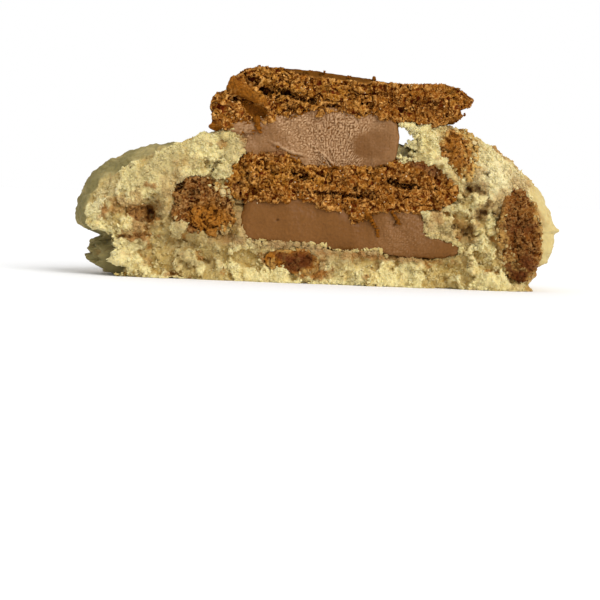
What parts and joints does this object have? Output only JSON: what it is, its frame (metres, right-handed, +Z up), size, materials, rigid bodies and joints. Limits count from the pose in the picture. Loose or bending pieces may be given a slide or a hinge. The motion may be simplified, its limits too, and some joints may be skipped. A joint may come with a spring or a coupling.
{
  "type": "half of a stuffed speculoos cookie",
  "caption": "Half of a thick round cookie broken open: pale crumbly dough round layered spiced biscuits and milk-chocolate cream, flat base to rest on.",
  "frame": {"origin": "on the resting plane, under the middle of the half's box", "axes": "+X runs along the broken face, to the right of someone who looks at it; +Y runs from the broken face into the cookie; +Z is up"},
  "size_m": [0.0922, 0.0544, 0.0412],
  "materials": {
    "dough": "baked pale dough, crumbly and dull",
    "biscuit": "spiced biscuit, crumbly and dull",
    "cream": "milk-chocolate cream, smooth with a soft shine"
  },
  "bodies": {
    "root": {"dough": "dough", "biscuit_top": "biscuit", "cream_upper": "cream", "biscuit_middle": "biscuit", "cream_lower": "cream", "chunk_left": "biscuit", "chunk_upper_right": "biscuit", "chunk_outer_right": "biscuit", "chunk_bottom": "biscuit"}
  },
  "joints": []
}
